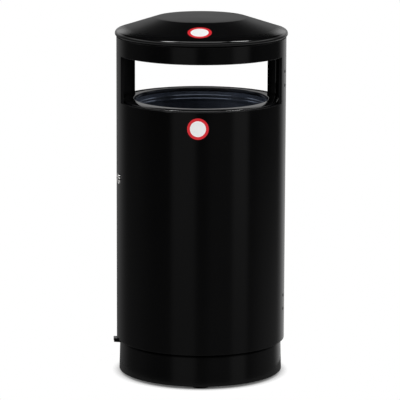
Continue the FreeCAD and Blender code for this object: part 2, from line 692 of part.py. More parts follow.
# Door: front half shell with its window, a turned-in free edge and the hole for the lock.
door_wall = ring("door_wall", "inner_radius", "body_radius", "shell_bottom", "door_top",
                 door_span, door_start)
door_frame, door_opening = window("door_window", "front_window_half_angle", "0")
free_edge = turn(group("free_edge_turned", [block(
    "free_edge", (latch_edge, latch_edge + " + sheet"), "inner_radius - edge_lip", "body_radius - sheet / 2",
    "edge_lip_low", "edge_lip_high")]), "-latch_angle")
lock_hole = turn(group("lock_hole_turned", [bolt(
    "lock_hole", "barrel_radius + barrel_clearance", "inner_radius - overrun", "body_radius + overrun",
    "lock_height")]), "-lock_angle")
door_whole = fuse("door_whole", [door_wall, door_frame, free_edge])
keep(cut("door", door_whole, [door_opening, lock_hole] + door_holes), "door")

# Cam lock: housing and nut stay on the door, spindle, cam and screw turn in it.
bezel_seat = "(body_radius + weld_gap / 4)"
bezel_face = "(body_radius + weld_gap / 4 + bezel_height)"
recess = "(body_radius + weld_gap / 4 + bezel_height - key_recess_depth)"
housing_whole = fuse("lock_housing_whole", [
    bolt("lock_bezel", "bezel_radius", bezel_seat, bezel_face, "lock_height"),
    bolt("lock_barrel", "barrel_radius", "barrel_end", bezel_seat + " + overrun", "lock_height")])
housing = cut("lock_housing_cut", housing_whole, [
    bolt("lock_recess", "key_recess_radius", recess, bezel_face + " + overrun", "lock_height"),
    bolt("lock_bore", "spindle_radius + running_clearance", "barrel_end - overrun",
         recess + " + overrun", "lock_height")])
keep(turn(housing, "-lock_angle"), "lock_housing")
nut_outer = "(body_radius - sheet - weld_gap - nut_flats * nut_flats / 8 / body_radius)"
nut = cut("lock_nut_cut", hexagon("lock_nut_block", "nut_flats", nut_outer + " - nut_height", nut_outer,
                                  "lock_height"),
          [bolt("lock_nut_bore", "barrel_radius + running_clearance", nut_outer + " - nut_height - overrun",
                nut_outer + " + overrun", "lock_height")])
keep(turn(nut, "-lock_angle"), "lock_nut")
key_pin = doc.addObject("Part::Prism", "key_pin")
key_pin.Polygon = 3
key_pin.Placement = FreeCAD.Placement(
    FreeCAD.Vector(0, 0, 0), FreeCAD.Rotation(FreeCAD.Vector(1, 0, 0), 90))
bind(key_pin, {"Circumradius": "key_pin_radius", "Height": "key_recess_depth"})
bind(key_pin, {"Placement.Base.y": "-(%s - overrun / 2)" % recess, "Placement.Base.z": "lock_height"})
spindle_whole = fuse("lock_spindle_whole", [
    bolt("spindle_shaft", "spindle_radius", "cam_inner + weld_gap", recess + " - screw_clearance",
         "lock_height"), key_pin])
spindle = cut("lock_spindle_cut", spindle_whole, [bolt(
    "spindle_bore", "cam_screw_radius + running_clearance", "cam_inner - overrun",
    "barrel_end + cam_screw_grip + overrun", "lock_height")])
keep(turn(spindle, "-lock_angle"), "lock_spindle")
cam_whole = fuse("lock_cam_whole", [
    block("cam_arm", ("-cam_reach", "0"), "cam_inner", "cam_outer",
          "lock_height - cam_width / 2", "lock_height + cam_width / 2"),
    bolt("cam_hub", "barrel_radius - barrel_clearance", "cam_inner", "cam_outer", "lock_height")])
cam = cut("lock_cam_cut", cam_whole, [bolt(
    "cam_bore", "spindle_radius + running_clearance", "cam_inner - overrun", "cam_outer + overrun",
    "lock_height")])
keep(turn(cam, "-lock_angle"), "lock_cam")
screw = fuse("cam_screw_whole", [
    bolt("cam_screw_head", "cam_screw_head",
         "cam_inner - weld_gap - cam_screw_head_height", "cam_inner - weld_gap", "lock_height"),
    bolt("cam_screw_shank", "cam_screw_radius", "cam_inner - overrun", "barrel_end + cam_screw_grip",
         "lock_height")])
keep(turn(screw, "-lock_angle"), "cam_screw")

# Keeper on the latch jamb: a tab behind the jamb, a plate inside the cam and a hook in front of it.
tab_face = "(%s + sheet + weld_gap)" % latch_edge
keeper_whole = fuse("keeper_whole", [
    block("keeper_tab", ("-%s - keeper_thick" % tab_face, "-" + tab_face), "keeper_inner",
          "inner_radius - overrun", "keeper_low", "keeper_high"),
    block("keeper_plate", ("-%s - keeper_thick" % tab_face, "keeper_hook_offset + keeper_hook_thick"),
          "keeper_inner", "keeper_inner + keeper_thick", "keeper_low", "keeper_high"),
    block("keeper_hook", ("keeper_hook_offset", "keeper_hook_offset + keeper_hook_thick"),
          "keeper_inner", "keeper_hook_reach", "keeper_low", "keeper_high")])
keeper_tools = []
keeper_rivets = []
for sign in ("-", "+"):
    spot = "keeper_middle %s keeper_rivet_spacing / 2" % sign
    mark = str(int(sign == "+"))
    keeper_tools.append(crossbar(
        "keeper_hole_" + mark, "jamb_rivet_radius + running_clearance",
        ("-%s - keeper_thick - overrun" % tab_face, "overrun - " + tab_face), "jamb_middle", spot))
    shank = crossbar("keeper_shank_" + mark, "jamb_rivet_radius",
                     ("-%s - keeper_thick - overrun / 2" % tab_face, "-%s - weld_gap / 4" % latch_edge),
                     "jamb_middle", spot)
    head = crossbar("keeper_head_" + mark, "jamb_rivet_head",
                    ("-%s - keeper_thick - weld_gap / 4 - rivet_head_height" % tab_face,
                     "-%s - keeper_thick - weld_gap / 4" % tab_face), "jamb_middle", spot)
    keeper_rivets.append(turn(fuse("keeper_rivet_" + mark, [shank, head]), "-latch_angle"))
keep(turn(cut("lock_keeper_cut", keeper_whole, keeper_tools), "-latch_angle"), "lock_keeper")
keep(group("keeper_rivets", keeper_rivets), "keeper_rivets")
bumpers = []
for name, height in (("low", "bumper_low_height"), ("high", "bumper_high_height")):
    pad = crossbar("bumper_pad_" + name, "bumper_radius",
                   ("-%s + weld_gap / 4" % latch_edge, "%s - bumper_clearance" % latch_edge),
                   "jamb_middle", height)
    stem = crossbar("bumper_stem_" + name, "bumper_radius / 2",
                    ("-%s - sheet - overrun / 2" % latch_edge, "0"), "jamb_middle", height)
    cap = crossbar("bumper_cap_" + name, "0.8 * bumper_radius",
                   ("-%s - sheet - weld_gap / 4 - rivet_head_height" % latch_edge,
                    "-%s - sheet - weld_gap / 4" % latch_edge), "jamb_middle", height)
    bumpers.append(turn(fuse("bumper_" + name, [pad, stem, cap]), "-latch_angle"))
keep(group("door_bumpers", bumpers), "door_bumpers")

# Inner bin: tapered wall with a stiffening bead, raised floor and a collar that covers the gap.


def wall(height, inset="0"):
    """Outer radius of the tapered wall at a height, less an inset."""
    return ("(bin_low_radius + bin_taper * (%s - bin_low) / (bin_top - bin_low) - (%s))"
            % (height, inset))


bead_spots = [("bead_height - bead_half - bead_ramp", "0"), ("bead_height - bead_half", "bead_depth"),
              ("bead_height + bead_half", "bead_depth"), ("bead_height + bead_half + bead_ramp", "0")]
outer_line = [("bin_low_radius", "bin_low")]
inner_line = [("bin_low_radius - bin_sheet", "bin_low")]
for height, inset in bead_spots:
    outer_line.append((wall("(%s)" % height, inset), height))
    inner_line.append((wall("(%s)" % height, inset + " + bin_sheet"), height))
outer_line.append(("bin_top_radius", "bin_top"))
inner_line.append(("bin_top_radius - bin_sheet", "bin_top"))
keep(lathe("inner_bin", outer_line + inner_line[::-1]), "inner_bin")
floor_radius = wall("bin_floor_height", "bin_sheet + 1.5 * weld_gap")
floor_low = "bin_floor_height - bin_floor_flange"
keep(lathe("inner_bin_floor", [
    ("0", "bin_floor_height"), (floor_radius, "bin_floor_height"), (floor_radius, floor_low),
    (floor_radius + " - bin_sheet", floor_low),
    (floor_radius + " - bin_sheet", "bin_floor_height - bin_sheet"),
    ("0", "bin_floor_height - bin_sheet")]), "inner_bin_floor")
lip_outer = "(bin_top_radius - bin_sheet - weld_gap)"
lip_inner = "(bin_top_radius - 2 * bin_sheet - weld_gap)"
keep(lathe("rim_collar", [
    (lip_inner, "collar_top - collar_lip"), (lip_inner, "collar_top"),
    ("collar_radius", "collar_top - collar_slope"),
    ("collar_radius", "collar_top - collar_slope - collar_edge"),
    ("collar_radius - bin_sheet", "collar_top - collar_slope - collar_edge"),
    ("collar_radius - bin_sheet", "collar_top - collar_slope - bin_sheet"),
    (lip_outer, "collar_top - bin_sheet"), (lip_outer, "collar_top - collar_lip")]), "rim_collar")

# Two drop handles in ears that are welded to the tapered wall.
arm_low = "(handle_height - handle_arm)"
ear_far = "(ear_inner + ear_width)"
ear_low = "(handle_height - ear_height / 2)"
ear_high = "(handle_height + ear_height / 2)"
wall_core = lathe("ear_trim", [
    ("0", ear_low + " - overrun"),
    (wall("(%s - overrun)" % ear_low, "-weld_gap"), ear_low + " - overrun"),
    (wall("(%s + overrun)" % ear_high, "-weld_gap"), ear_high + " + overrun"),
    ("0", ear_high + " + overrun")])


def handle_end(side, mark, sign):
    """Bent end of a handle and the ear that it turns in, on one side of the middle."""
    def across(near, far):
        return (near, far) if sign == "" else ("-(%s)" % far, "-(%s)" % near)
    mark = side + "_" + mark
    arm = sign + "handle_half_width"
    rods = []
    for spot, height in (("ball", arm_low), ("knee", "handle_height")):
        bend = doc.addObject("Part::Sphere", "handle_%s_%s" % (spot, mark))
        bind(bend, {"Radius": "handle_rod_radius", "Placement.Base.x": arm})
        bind(bend, {"Placement.Base.y": "-(handle_circle)", "Placement.Base.z": height})
        rods.append(bend)
    rods.append(post("handle_arm_" + mark, "handle_rod_radius", arm, "handle_circle",
                     arm_low, "handle_height"))
    rods.append(crossbar("handle_pivot_" + mark, "handle_rod_radius",
                         across("handle_half_width", ear_far + " - overrun"),
                         "handle_circle", "handle_height"))
    block_whole = block("ear_block_" + mark, across("ear_inner", ear_far),
                        "handle_wall - ear_height", "ear_face", ear_low, ear_high)
    bore = crossbar("ear_bore_" + mark, "handle_rod_radius + running_clearance",
                    across("ear_inner - overrun", ear_far + " + overrun"), "handle_circle", "handle_height")
    return rods, cut("ear_" + mark, block_whole, [bore, wall_core])


for side, angle in (("front", "0"), ("rear", "180")):
    rods = [crossbar(side + "_grip", "handle_rod_radius", ("-handle_half_width", "handle_half_width"),
                     "handle_circle", arm_low)]
    ears = []
    for mark, sign in (("left", "-"), ("right", "")):
        end_rods, ear = handle_end(side, mark, sign)
        rods += end_rods
        ears.append(ear)
    keep(turn(fuse(side + "_handle_whole", rods), angle), side + "_handle")
    keep(turn(group(side + "_ears", ears), angle), side + "_handle_ears")

doc.recompute()
os.makedirs("parts", exist_ok=True)
for item in doc.Objects:
    if any(state in ("Invalid", "Error") for state in item.State):
        raise RuntimeError("%s did not build: %s" % (item.Name, item.State))
for item in nodes:
    shape = item.Shape
    if shape.isNull() or not shape.isValid() or not shape.Solids:
        raise RuntimeError("%s has no valid solid" % item.Label)
    shape.exportStep("parts/%s.step" % item.Label)
print("%d nodes" % len(nodes))
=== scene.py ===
import json
import math

import bmesh
import bpy
from mathutils import Matrix, Vector


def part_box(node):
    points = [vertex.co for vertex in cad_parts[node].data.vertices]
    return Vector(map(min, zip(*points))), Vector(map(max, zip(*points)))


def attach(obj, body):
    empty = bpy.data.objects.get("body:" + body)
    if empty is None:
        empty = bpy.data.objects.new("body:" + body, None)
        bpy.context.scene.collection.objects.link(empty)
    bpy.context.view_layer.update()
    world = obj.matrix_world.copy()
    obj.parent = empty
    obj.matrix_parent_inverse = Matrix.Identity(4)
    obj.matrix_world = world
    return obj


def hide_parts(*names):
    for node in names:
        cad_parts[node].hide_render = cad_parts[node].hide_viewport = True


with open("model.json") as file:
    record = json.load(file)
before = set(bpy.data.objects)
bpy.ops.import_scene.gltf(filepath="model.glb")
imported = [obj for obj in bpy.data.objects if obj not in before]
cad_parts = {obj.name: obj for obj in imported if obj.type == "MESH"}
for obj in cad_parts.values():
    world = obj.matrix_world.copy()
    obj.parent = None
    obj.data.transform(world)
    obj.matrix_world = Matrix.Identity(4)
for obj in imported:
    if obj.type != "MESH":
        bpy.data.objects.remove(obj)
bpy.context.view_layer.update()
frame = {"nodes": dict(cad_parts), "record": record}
nodes = frame["nodes"]
record = frame["record"]
body_of = {node: body for body, members in record["behaviour"]["bodies"].items() for node in members}
slot_of = {part["node"]: part["material_slot"] for part in record["subparts"]}

# Sizes in metres. Outer sizes come from the frame, sheet and fold sizes are those of the construction.
MM = 0.001
door_low, door_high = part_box("door")
rear_low, rear_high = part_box("rear_shell")
roof_low, roof_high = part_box("roof")
plinth_low, plinth_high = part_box("plinth_ring")
head_low, head_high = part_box("head_ring")
collar_low, collar_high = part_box("rim_collar")
bin_low, bin_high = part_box("inner_bin")
floor_low, floor_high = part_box("inner_bin_floor")
BODY = -door_low.y
SHEET = 2 * MM

# Shells: heights, and angles from the front towards +X.
WINDOW_LOW = 771.5 * MM
WINDOW_HIGH = 901 * MM
WINDOW_LIP = 7 * MM
FRONT_WINDOW = math.radians(70)
REAR_WINDOW = math.radians(55.5)
LATCH = math.radians(-83)
LATCH_HALF_GAP = 1.5 * MM
HINGE = math.radians(110)
HINGE_HALF_GAP = 2.6 * MM
EDGE_LIP = 12 * MM
EDGE_LIP_ENDS = (130 * MM, 755 * MM)
JAMB = 11 * MM
JAMB_ENDS = (125 * MM, 903 * MM)
SHELL_FLANGE = 7 * MM
FLANGE_PLAY = 0.2 * MM

# Roof, plinth and head ring.
ROOF_DISC = 126 * MM
ROOF_DOME = 5 * MM
ROOF_CREASE = roof_high.z - ROOF_DOME
ROOF_CONE_FOOT = 13 * MM
ROOF_RETURN = 6.5 * MM
RIM_BEND = roof_low.z + ROOF_CONE_FOOT
PLINTH_TAPER = 3 * MM
HEAD_SHEET = 3 * MM
HEAD_LEDGE = 23 * MM

# Inner bin and its collar.
BIN_SHEET = 1.5 * MM
BIN_TAPER = 7.5 * MM
BIN_DRAIN = 20 * MM
BEAD = 744 * MM
BEAD_HALF = 3 * MM
BEAD_RAMP = 5 * MM
BEAD_DEPTH = 5 * MM
COLLAR_SLOPE = 2.6 * MM
COLLAR_EDGE = 7.5 * MM
COLLAR_PLAY = 0.2 * MM

# Lock and strap rivets.
LOCK_ANGLE = math.radians(-75)
LOCK_HEIGHT = 558 * MM
STRAP_RIVET_ANGLES = (math.radians(79), math.radians(98))
STRAP_RIVET_HALF = 19.25 * MM
HINGE_HEIGHTS = (837.5 * MM, 206 * MM)
SEAT_GAP = 0.05 * MM

# Dust on the coat reaches up to the first height, painted shade on the plinth sets in between the other
# two.
DUST_TOP = 130 * MM
PAINTED_SHADE_ENDS = (86 * MM, 92 * MM)

# Broken edges.
FOLD_EDGE = 0.7 * MM
ROOF_EDGE = 0.4 * MM
PLINTH_EDGE = 0.6 * MM
HEAD_EDGE = 0.5 * MM
THIN_EDGE = 0.3 * MM
FOOT_EDGE = 0.4 * MM
LOCK_EDGE = 0.2 * MM
PLAIN_EDGE = 0.25 * MM

# A full turn, the steps of a curved shell, the angle from which an edge is sharp, the angle up to which
# neighbouring faces count as one, and a hair's breadth for comparing places.
FULL = 2 * math.pi
STEP = math.radians(1.5)
SHARP = math.radians(32)
FLAT = math.radians(0.4)
HAIR = 1e-5

# Patches to the metre of the coat's orange peel, and of the bin's.
PEEL = 650
BIN_PEEL = 500


class Value:
    """A value on its way through the nodes, with plain arithmetic."""

    def __init__(self, nodes_of, socket):
        self.nodes_of = nodes_of
        self.socket = socket

    def combined(self, operation, other, swapped=False):
        pair = (other, self) if swapped else (self, other)
        return self.nodes_of.node("ShaderNodeMath", {"operation": operation}, dict(enumerate(pair)))

    def __add__(self, other):
        return self.combined("ADD", other)

    __radd__ = __add__

    def __sub__(self, other):
        return self.combined("SUBTRACT", other)

    def __rsub__(self, other):
        return self.combined("SUBTRACT", other, swapped=True)

    def __mul__(self, other):
        return self.combined("MULTIPLY", other)

    __rmul__ = __mul__


class Nodes:
    """The node tree of a finish, of the floor or of the studio around it."""

    def __init__(self, owner, coordinates="Object"):
        owner.use_nodes = True
        self.owner = owner
        self.tree = owner.node_tree
        self.place = self.node("ShaderNodeTexCoord", out=coordinates)

    def node(self, kind, settings=None, links=None, out=0):
        made = self.tree.nodes.new(kind)
        for key, value in (settings or {}).items():
            setattr(made, key, value)
        for key, value in (links or {}).items():
            self.put(made.inputs[key], value)
        return Value(self, made.outputs[out])

    def put(self, socket, value):
        """Links a value to a socket, or sets a plain one on it."""
        if isinstance(value, Value):
            self.tree.links.new(value.socket, socket)
        else:
            socket.default_value = value

    def noise(self, scale, detail=3.0, stretch=(1, 1, 1)):
        """Cloudy pattern between 0 and 1, scale in patches to the metre."""
        spot = self.node("ShaderNodeMapping", links={"Vector": self.place, "Scale": stretch})
        return self.node("ShaderNodeTexNoise", links={"Vector": spot, "Scale": scale, "Detail": detail})

    def relief(self, scale, strength, detail=2.0, depth=0.1 * MM):
        """Fine bumps in the surface, scale in patches to the metre."""
        grain = self.noise(scale, detail)
        return self.node("ShaderNodeBump", links={"Strength": strength, "Distance": depth, "Height": grain})

    def along(self, axis):
        return self.node("ShaderNodeSeparateXYZ", links={"Vector": self.place}, out=axis)

    def rise(self, value, start, stop):
        """Smooth step from 0 at start to 1 at stop."""
        low, high, ends = (start, stop, (0.0, 1.0)) if start < stop else (stop, start, (1.0, 0.0))
        return self.node("ShaderNodeMapRange", {"interpolation_type": "SMOOTHSTEP"}, {
            "Value": value, "From Min": low, "From Max": high, "To Min": ends[0], "To Max": ends[1]})

    def mixed(self, factor, first, second):
        return self.node("ShaderNodeMix", {"data_type": "RGBA"}, {
            "Factor": factor, 6: (*first, 1), 7: (*second, 1)}, out=2)

    def feed(self, **sockets):
        """Sets or links sockets of the surface shader, by name with underscores for spaces."""
        shader = self.tree.nodes["Principled BSDF"]
        for name, value in sockets.items():
            self.put(shader.inputs[name.replace("_", " ")], value)
        return self.owner


def new_finish(name):
    return Nodes(bpy.data.materials.new(name))


def black_coat():
    """Black semi-gloss powder coat with a faint orange peel, duller and dustier near the ground."""
    coat = new_finish("black_coat")
    cloud = coat.noise(14)
    dust = coat.rise(coat.along("Z"), DUST_TOP, 0.0) * coat.noise(90, 5.0)
    return coat.feed(
        Base_Color=coat.mixed(dust * 0.5, (0.0010, 0.0010, 0.0011), (0.0032, 0.0030, 0.0028)),
        Roughness=cloud * 0.05 + 0.14 + dust * 0.1,
        Normal=coat.relief(PEEL, 0.10))


def inside_coat():
    """The thin black coat on the inner side of the shells, dull from damp and dust."""
    coat = new_finish("inside_coat")
    cloud = coat.noise(22, 4.0)
    return coat.feed(
        Base_Color=coat.mixed(cloud, (0.0022, 0.0022, 0.0024), (0.0045, 0.0045, 0.005)),
        Roughness=cloud * 0.12 + 0.5,
        Specular_IOR_Level=0.15,
        Normal=coat.relief(700, 0.2))


def plinth_coat():
    """The black coat on the plinth, with painted shade under the shells' lower edge: a darker colour, and
    metal that takes the gloss off.
    """
    coat = new_finish("plinth_coat")
    cloud = coat.noise(14)
    # Painted shade under the shells' lower edge: this band darkens the colour and turns the coat to metal,
    # so it shows neither diffuse light nor gloss.
    painted_shade = coat.rise(coat.along("Z"), *PAINTED_SHADE_ENDS) * (cloud * 0.2 + 0.8)
    return coat.feed(
        Base_Color=coat.mixed(painted_shade, (0.0012, 0.0012, 0.0013), (0.0004, 0.0004, 0.0004)),
        Metallic=painted_shade,
        Roughness=cloud * 0.05 + 0.16,
        Normal=coat.relief(PEEL, 0.10))


def roof_coat():
    """The same black coat on the roof, duller from the weather and fine dust, rubbed smooth on the rim."""
    coat = new_finish("roof_coat")
    cloud = coat.noise(11, 4.0)
    height = coat.along("Z")
    below_cone = coat.rise(height, RIM_BEND + 12 * MM, RIM_BEND + 2 * MM)
    above_edge = coat.rise(height, RIM_BEND - 7 * MM, RIM_BEND - 3 * MM)
    rubbed = below_cone * above_edge
    return coat.feed(
        Base_Color=coat.mixed(cloud * 0.6, (0.0014, 0.0014, 0.0015), (0.0032, 0.0032, 0.0035)),
        Roughness=cloud * 0.08 + 0.27 - rubbed * 0.15,
        Specular_IOR_Level=0.3,
        Coat_Weight=rubbed,
        Normal=coat.relief(PEEL, 0.12))


def collar_coat():
    """The black coat on the collar, polished by bags and hands."""
    coat = new_finish("collar_coat")
    wipes = coat.noise(80, 4.0)
    return coat.feed(
        Base_Color=coat.mixed(wipes, (0.0016, 0.0016, 0.0018), (0.0050, 0.0052, 0.0060)),
        Roughness=wipes * 0.08 + 0.08,
        IOR=1.9,
        Specular_IOR_Level=1.0,
        Normal=coat.relief(BIN_PEEL, 0.08))


def bin_coat():
    """Blue-grey metallic coat of the inner bin with long upright rub marks from bags and waste."""
    coat = new_finish("bin_coat")
    rubs = coat.noise(60, 4.0, stretch=(1, 1, 0.06))
    return coat.feed(
        Base_Color=coat.mixed(rubs, (0.105, 0.126, 0.172), (0.215, 0.252, 0.330)),
        Metallic=0.75,
        Roughness=rubs * 0.10 + 0.14,
        Normal=coat.relief(BIN_PEEL, 0.15, depth=0.15 * MM))


def zinc_steel():
    """Bright zinc plate with a fine grain and cloudy passivation."""
    plate = new_finish("zinc_steel")
    cloud = plate.noise(45, 4.0)
    return plate.feed(
        Base_Color=plate.mixed(cloud, (0.50, 0.51, 0.53), (0.63, 0.63, 0.62)),
        Metallic=1.0,
        Roughness=cloud * 0.15 + 0.25,
        Normal=plate.relief(1400, 0.10, depth=0.05 * MM))


def lock_chrome():
    """Polished chrome plate with faint wiping marks."""
    plate = new_finish("lock_chrome")
    wipes = plate.noise(220, 3.0, stretch=(1, 1, 0.2))
    return plate.feed(
        Base_Color=plate.mixed(wipes, (0.80, 0.79, 0.78), (0.88, 0.87, 0.86)),
        Metallic=1.0,
        Roughness=wipes * 0.08 + 0.05)


def black_rubber():
    """Matt moulded rubber."""
    rubber = new_finish("black_rubber")
    cloud = rubber.noise(60)
    return rubber.feed(
        Base_Color=rubber.mixed(cloud, (0.002, 0.002, 0.002), (0.006, 0.006, 0.006)),
        Roughness=cloud * 0.15 + 0.6,
        Specular_IOR_Level=0.2,
        Normal=rubber.relief(900, 0.25, detail=3.0))


def label_film(name, dark, light):
    """Printed film of one colour, with a slightly uneven print."""
    film = new_finish(name)
    cloud = film.noise(120, 4.0)
    return film.feed(Base_Color=film.mixed(cloud, dark, light), Roughness=cloud * 0.08 + 0.25)


FINISHES = {
    "black_coat": black_coat(),
    "inside_coat": inside_coat(),
    "plinth_coat": plinth_coat(),
    "roof_coat": roof_coat(),
    "collar_coat": collar_coat(),
    "bin_coat": bin_coat(),
    "zinc_steel": zinc_steel(),
    "lock_chrome": lock_chrome(),
    "black_rubber": black_rubber(),
    "label_white": label_film("label_white", (0.80, 0.80, 0.79), (0.86, 0.86, 0.85)),
    "label_border": label_film("label_border", (0.58, 0.020, 0.028), (0.66, 0.026, 0.034)),
}


def at(angle, radius, height):
    """Point at an angle from the front, counted towards +X."""
    return Vector((radius * math.sin(angle), -radius * math.cos(angle), height))


def piece(name, bm, replaced, finishes=None, edge=0.0, body=None, merged=True):
    """Finished object from a bmesh: closed seams, outward faces, smooth shading and broken edges.

    Body, slot and finish are those of the first replaced node unless they are given."""
    if merged:
        bmesh.ops.remove_doubles(bm, verts=bm.verts, dist=HAIR / 2)
        bmesh.ops.recalc_face_normals(bm, faces=bm.faces)
    mesh = bpy.data.meshes.new(name)
    bm.to_mesh(mesh)
    bm.free()
    mesh.shade_smooth()
    mesh.set_sharp_from_angle(angle=SHARP)
    made = bpy.data.objects.new(name, mesh)
    bpy.context.scene.collection.objects.link(made)
    first = replaced[0] if replaced else None
    for entry in finishes or [slot_of[first]]:
        mesh.materials.append(FINISHES[entry])
    if edge:
        soften(made, edge)
    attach(made, body or body_of[first])
    if replaced:
        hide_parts(*replaced)
    return made


def soften(made, width):
    """Breaks the sharp edges of a piece."""
    bevel = made.modifiers.new("broken_edges", "BEVEL")
    bevel.width = width
    bevel.segments = 3
    bevel.limit_method = "ANGLE"
    bevel.angle_limit = SHARP
    bevel.harden_normals = True


def spun(profile, closed=True, steps=240):
    """Bmesh turned about the upright axis from a profile of radius and height."""
    bm = bmesh.new()
    verts = [bm.verts.new((radius, 0, height)) for radius, height in profile]
    ends = verts[1:] + verts[:1] if closed else verts[1:]
    edges = [bm.edges.new(pair) for pair in zip(verts, ends)]
    bmesh.ops.spin(bm, geom=verts + edges, axis=(0, 0, 1), cent=(0, 0, 0), angle=FULL, steps=steps,
                   use_merge=True)
    bmesh.ops.remove_doubles(bm, verts=bm.verts, dist=HAIR / 2)
    bmesh.ops.recalc_face_normals(bm, faces=bm.faces)
    return bm


def rounded(bm, spots, size, segments=5):
    """Rounds the rings of a turned bmesh that lie at the given radius and height."""
    def on(vert, radius, height):
        return abs(math.hypot(vert.co.x, vert.co.y) - radius) < HAIR and abs(vert.co.z - height) < HAIR
    rings = [edge for edge in bm.edges
             if any(all(on(vert, *spot) for vert in edge.verts) for spot in spots)]
    bmesh.ops.bevel(bm, geom=rings, offset=size, offset_type="OFFSET", segments=segments, profile=0.5,
                    affect="EDGES", material=-1, clamp_overlap=True)


def aimed(bm, angle, height):
    """Turns a bmesh so that its upright axis points outwards at an angle and a height."""
    tilt = Matrix.Rotation(math.radians(90), 4, "X")
    move = Matrix.Translation((0, 0, height))
    bmesh.ops.transform(bm, matrix=Matrix.Rotation(angle, 4, "Z") @ move @ tilt, verts=bm.verts)
    return bm


def joined(parts):
    """One bmesh from several."""
    whole = bmesh.new()
    for part in parts:
        mesh = bpy.data.meshes.new("part")
        part.to_mesh(mesh)
        part.free()
        whole.from_mesh(mesh)
        bpy.data.meshes.remove(mesh)
    return whole


def angle_of(point):
    """Angle of a point from the front, counted towards +X, in the turn that starts before the latch."""
    turn_start = LATCH - math.radians(20)
    found = math.atan2(point.x, -point.y)
    return found if found > turn_start else found + FULL


def shell(start, stop, heights, half, middle):
    """Outer face of a half shell with its window cut out, and the edges round that window."""
    bm = bmesh.new()
    column = [bm.verts.new(at(start, BODY, height)) for height in heights]
    edges = [bm.edges.new(pair) for pair in zip(column, column[1:])]
    bmesh.ops.spin(bm, geom=column + edges, axis=(0, 0, 1), cent=(0, 0, 0), angle=stop - start,
                   steps=round((stop - start) / STEP))
    for side in (middle - half, middle + half):
        bmesh.ops.bisect_plane(bm, geom=bm.verts[:] + bm.edges[:] + bm.faces[:], dist=HAIR / 10,
                               plane_co=(0, 0, 0), plane_no=(math.cos(side), math.sin(side), 0))

    def within(point, slack):
        return (abs(angle_of(point) - middle) < half + slack
                and WINDOW_LOW - slack < point.z < WINDOW_HIGH + slack)
    bmesh.ops.delete(bm, geom=[face for face in bm.faces if within(face.calc_center_median(), 0)],
                     context="FACES")
    bmesh.ops.recalc_face_normals(bm, faces=bm.faces)
    first = bm.faces[:][0]
    centre = first.calc_center_median()
    if first.normal.dot(Vector((centre.x, centre.y, 0))) < 0:
        bmesh.ops.reverse_faces(bm, faces=bm.faces)
    rim = [edge for edge in bm.edges if edge.is_boundary and all(within(v.co, HAIR) for v in edge.verts)]
    return bm, rim


def folded(bm, edges, depth, dull=False):
    """Folds a flange of the sheet straight inwards along some open edges, dull like the inside or not."""
    for made in bmesh.ops.extrude_edge_only(bm, edges=edges)["geom"]:
        if isinstance(made, bmesh.types.BMVert):
            reach = math.hypot(made.co.x, made.co.y)
            made.co.x *= (reach - depth) / reach
            made.co.y *= (reach - depth) / reach
        if isinstance(made, bmesh.types.BMFace):
            made.material_index = int(dull)


def seam_edges(bm, angle, ends):
    """Open upright edges of a shell at an angle, between two heights."""
    def on(vert):
        return (abs(angle_of(vert.co) - angle) < HAIR / BODY
                and ends[0] - HAIR < vert.co.z < ends[1] + HAIR)
    return [edge for edge in bm.edges if edge.is_boundary and all(on(vert) for vert in edge.verts)]


def level_edges(bm, height):
    """Open edges of a shell at one height."""
    return [edge for edge in bm.edges
            if edge.is_boundary and all(abs(vert.co.z - height) < HAIR for vert in edge.verts)]


def sheet_piece(name, bm, replaced):
    """Shell with the thickness of its sheet and rounded folds."""
    made = piece(name, bm, replaced, ["black_coat", "inside_coat"], merged=False)
    wall = made.modifiers.new("sheet", "SOLIDIFY")
    wall.thickness = SHEET
    wall.offset = -1
    wall.use_even_offset = True
    wall.material_offset = 1
    soften(made, FOLD_EDGE)


def front_door():
    start = LATCH + LATCH_HALF_GAP / BODY
    stop = HINGE - HINGE_HALF_GAP / BODY
    heights = sorted([door_low.z, *EDGE_LIP_ENDS, WINDOW_LOW, WINDOW_HIGH, door_high.z])
    bm, rim = shell(start, stop, heights, FRONT_WINDOW, 0.0)
    folded(bm, rim, SHEET + WINDOW_LIP, dull=True)
    folded(bm, seam_edges(bm, start, EDGE_LIP_ENDS), SHEET + EDGE_LIP)
    sheet_piece("front_door_shell", bm, ["door"])


def rear_half():
    start = HINGE + HINGE_HALF_GAP / BODY
    stop = LATCH + FULL - LATCH_HALF_GAP / BODY
    heights = sorted([rear_low.z, *JAMB_ENDS, WINDOW_LOW, WINDOW_HIGH, rear_high.z])
    bm, rim = shell(start, stop, heights, REAR_WINDOW, math.pi)
    folded(bm, rim, SHEET + WINDOW_LIP, dull=True)
    for angle in (start, stop):
        folded(bm, seam_edges(bm, angle, JAMB_ENDS), SHEET + JAMB)
    for height in (rear_low.z, rear_high.z):
        folded(bm, level_edges(bm, height), SHELL_FLANGE - FLANGE_PLAY)
    sheet_piece("rear_half_shell", bm, ["rear_shell"])


